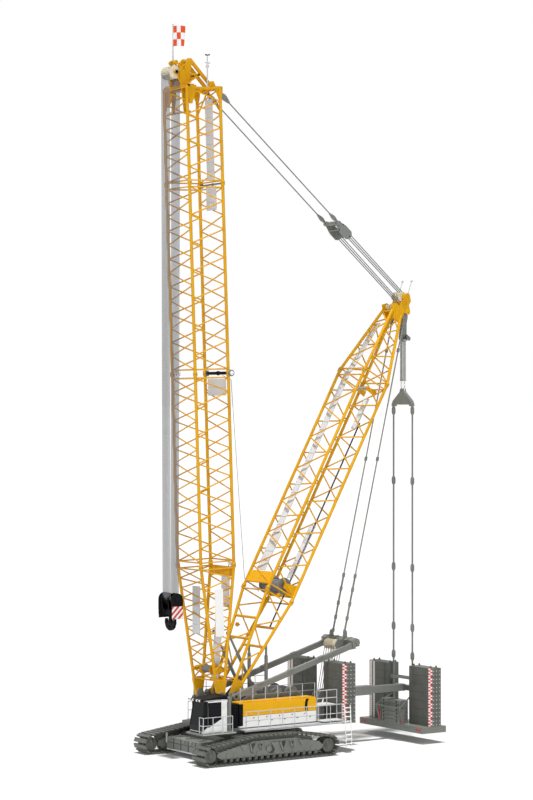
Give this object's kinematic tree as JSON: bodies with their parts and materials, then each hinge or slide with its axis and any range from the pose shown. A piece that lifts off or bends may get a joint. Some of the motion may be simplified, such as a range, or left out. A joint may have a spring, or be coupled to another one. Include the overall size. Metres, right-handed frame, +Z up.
{
  "type": "crawler crane 1:2 scale model",
  "caption": "Crawler crane, half-size model: lattice main boom, derrick boom with suspended ballast tray, slewing superstructure, cab and hook block on two tracks.",
  "frame": {"origin": "middle of the bounding box in plan, on the ground under the tracks", "axes": "+X towards the boom's side, +Y to the crane's left, +Z up"},
  "size_m": [9.88, 4.2, 23.225],
  "materials": {
    "grey_steel": "satin paint",
    "dark_cast": "painted, worn bright on the shoes",
    "ballast": "painted concrete",
    "yellow": "gloss paint",
    "panels": "white and yellow paint",
    "gangway": "bare",
    "glass": "dark tint",
    "seat": "matt",
    "black": "satin paint",
    "sheave": "matt"
  },
  "bodies": {
    "undercarriage": {"carbody": "grey_steel", "slew_ring": "grey_steel", "central_ballast": "dark_cast", "side_frame_left": "grey_steel", "side_frame_right": "grey_steel", "track_left": "dark_cast", "track_right": "dark_cast", "rollers_left": "dark_cast", "rollers_right": "dark_cast"},
    "superstructure": {"slewing_platform": "grey_steel", "winches": "grey_steel", "walkways": "gangway", "railings": "gangway", "ladder": "gangway", "cab_shell": "panels", "cab_glass": "glass", "cab_seat": "seat", "roof_guard": "black", "boom_stops": "grey_steel", "boom_foot_pins": "grey_steel", "housing_left": "panels", "housing_right": "panels", "ballast_rear_left": "ballast", "ballast_rear_right": "ballast"},
    "cab_door": {"cab_door": "panels"},
    "boom": {"boom_foot": "yellow", "boom_lower": "yellow", "boom_upper": "yellow", "boom_head": "yellow", "masts": "gangway"},
    "hoist_axle": {"hoist_axle": "grey_steel"},
    "hoist_sheaves": {"boom_sheaves": "sheave"},
    "hook_block": {"hook_block": "black"},
    "hook": {"hook": "black"},
    "derrick": {"derrick_foot": "yellow", "derrick_mid": "yellow", "derrick_head": "yellow", "derrick_winch": "grey_steel"},
    "luffing_sheaves": {"derrick_sheaves": "sheave"},
    "stay_line": {"luffing_block": "grey_steel", "main_stays": "grey_steel"},
    "sa_frame": {"sa_frame": "grey_steel"},
    "sa_stays": {"sa_stays": "grey_steel"},
    "stop_tubes": {"derrick_stop_tubes": "grey_steel"},
    "stop_rods": {"derrick_stop_rods": "grey_steel"},
    "ballast_hanger": {"ballast_hanger": "grey_steel"},
    "ballast_load": {"ballast_yoke": "grey_steel", "ballast_tray": "grey_steel", "centre_ballast": "ballast", "ballast_tray_left": "ballast", "ballast_tray_right": "ballast"},
    "guide_outer": {"guide_outer": "grey_steel"},
    "guide_inner": {"guide_inner": "grey_steel"}
  },
  "joints": [
    {"name": "slew", "type": "hinge", "parent": "undercarriage", "child": "superstructure", "pos_m": [2.24, 0, 0.91], "axis": [0, 0, 1], "continuous": true},
    {"name": "cab_door_slide", "type": "slide", "parent": "superstructure", "child": "cab_door", "axis": [-1, 0, 0], "range_m": [0, 0.4]},
    {"name": "boom_luff", "type": "hinge", "parent": "derrick", "child": "boom", "pos_m": [3.265, 0, 1.9925], "axis": [0, 1, 0], "range_deg": [0, 34]},
    {"name": "hoist_axle_turn", "type": "hinge", "parent": "boom", "child": "hoist_axle", "pos_m": [4.725, 0, 21.6], "axis": [0, 1, 0], "range_deg": [-3.55, 0.05]},
    {"name": "hoist_sheaves_turn", "type": "hinge", "parent": "hoist_axle", "child": "hoist_sheaves", "pos_m": [4.725, 0, 21.6], "axis": [0, 1, 0], "range_deg": [-34.05, 0.05]},
    {"name": "hook_hoist", "type": "slide", "parent": "hoist_sheaves", "child": "hook_block", "axis": [0, 0, 1], "range_m": [-3.7, 12.4]},
    {"name": "hook_swivel", "type": "hinge", "parent": "hook_block", "child": "hook", "pos_m": [4.725, 0, 4.56], "axis": [0, 0, 1], "continuous": true},
    {"name": "derrick_luff", "type": "hinge", "parent": "superstructure", "child": "derrick", "pos_m": [2.725, 0, 2], "axis": [0, 1, 0], "range_deg": [0, 3.5]},
    {"name": "stay_line_swing", "type": "hinge", "parent": "derrick", "child": "luffing_sheaves", "pos_m": [-4.305, 0, 14.79], "axis": [0, 1, 0], "range_deg": [-0.05, 30.61]},
    {"name": "stay_line_pay_out", "type": "slide", "parent": "luffing_sheaves", "child": "stay_line", "axis": [0.763, 0, 0.6464], "range_m": [-0.002, 8.6586]},
    {"name": "sa_frame_luff", "type": "hinge", "parent": "superstructure", "child": "sa_frame", "pos_m": [2.815, 0, 1.95], "axis": [0, 1, 0], "range_deg": [-0.05, 3.48]},
    {"name": "sa_stays_swing", "type": "hinge", "parent": "sa_frame", "child": "sa_stays", "pos_m": [-1.8, 0, 3.69], "axis": [0, 1, 0], "range_deg": [-0.05, 0.112]},
    {"name": "derrick_stop_swing", "type": "hinge", "parent": "superstructure", "child": "stop_tubes", "pos_m": [1.425, 0, 2.075], "axis": [0, 1, 0], "range_deg": [-0.05, 3.63]},
    {"name": "derrick_stop_stroke", "type": "slide", "parent": "stop_tubes", "child": "stop_rods", "axis": [0, 0, 1], "range_m": [-0.002, 0.0815]},
    {"name": "ballast_hanger_swing", "type": "hinge", "parent": "derrick", "child": "ballast_hanger", "pos_m": [-4.47, 0, 14.275], "axis": [0, 1, 0], "range_deg": [-3.55, 0.05]},
    {"name": "ballast_lift", "type": "slide", "parent": "ballast_hanger", "child": "ballast_load", "axis": [0, 0, 1], "range_m": [-0.18, 0.1]},
    {"name": "ballast_guide_swing", "type": "hinge", "parent": "superstructure", "child": "guide_outer", "pos_m": [-0.96, 0, 1.71], "axis": [0, 1, 0], "range_deg": [-0.05, 8.62]},
    {"name": "ballast_guide_slide", "type": "slide", "parent": "guide_outer", "child": "guide_inner", "axis": [1, 0, 0], "range_m": [-0.002, 0.7336]}
  ],
  "couplings": [
    {"joint": "hoist_axle_turn", "follows": "derrick_luff", "ratio": -1},
    {"joint": "hoist_sheaves_turn", "follows": "boom_luff", "ratio": -1},
    {"joint": "stay_line_swing", "follows": "boom_luff", "ratio": 0.89885},
    {"joint": "stay_line_pay_out", "follows": "boom_luff", "m_per_rad": 14.588},
    {"joint": "sa_frame_luff", "follows": "derrick_luff", "ratio": 0.98091},
    {"joint": "sa_stays_swing", "follows": "derrick_luff", "ratio": 0.01773},
    {"joint": "derrick_stop_swing", "follows": "derrick_luff", "ratio": 1.0231},
    {"joint": "derrick_stop_stroke", "follows": "derrick_luff", "m_per_rad": 1.3015},
    {"joint": "ballast_hanger_swing", "follows": "derrick_luff", "ratio": -1},
    {"joint": "ballast_guide_swing", "follows": "derrick_luff", "ratio": 2.4491},
    {"joint": "ballast_guide_slide", "follows": "derrick_luff", "m_per_rad": 11.976}
  ]
}
